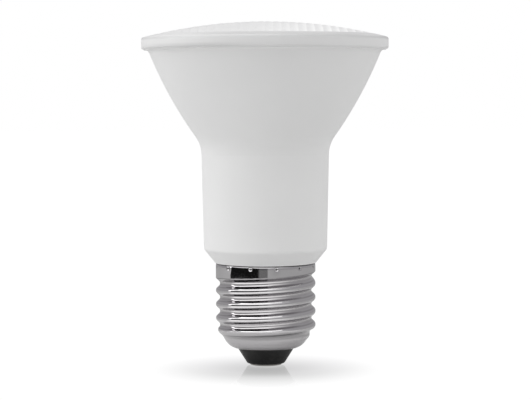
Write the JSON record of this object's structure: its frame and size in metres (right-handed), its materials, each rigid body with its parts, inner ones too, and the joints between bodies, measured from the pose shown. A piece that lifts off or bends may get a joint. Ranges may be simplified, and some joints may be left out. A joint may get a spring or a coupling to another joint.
{
  "type": "led par reflector bulb",
  "caption": "Reflector lamp with a domed front lens on a flared white housing, a drafted neck and a threaded metal screw cap with a black insulator and a centre contact.",
  "frame": {"origin": "centre of the contact's flat face, at the foot of the lamp's axis", "axes": "+Z along the lamp's axis from the contact to the lens, +X to the right as the picture shows it, -Y towards the viewer"},
  "size_m": [0.0644, 0.0644, 0.0899],
  "materials": {
    "lens_plastic": "milky moulded polycarbonate with fine raised facets inside a smooth border",
    "housing_plastic": "white moulded plastic with a fine satin texture",
    "plated_cap": "bright nickel plate on rolled sheet metal",
    "black_insulator": "black moulded insulator with a dull shine",
    "plated_contact": "tinned metal disc, slightly dull"
  },
  "bodies": {
    "root": {"front_lens": "lens_plastic", "housing": "housing_plastic", "screw_shell": "plated_cap", "base_insulator": "black_insulator", "centre_contact": "plated_contact"}
  },
  "joints": []
}
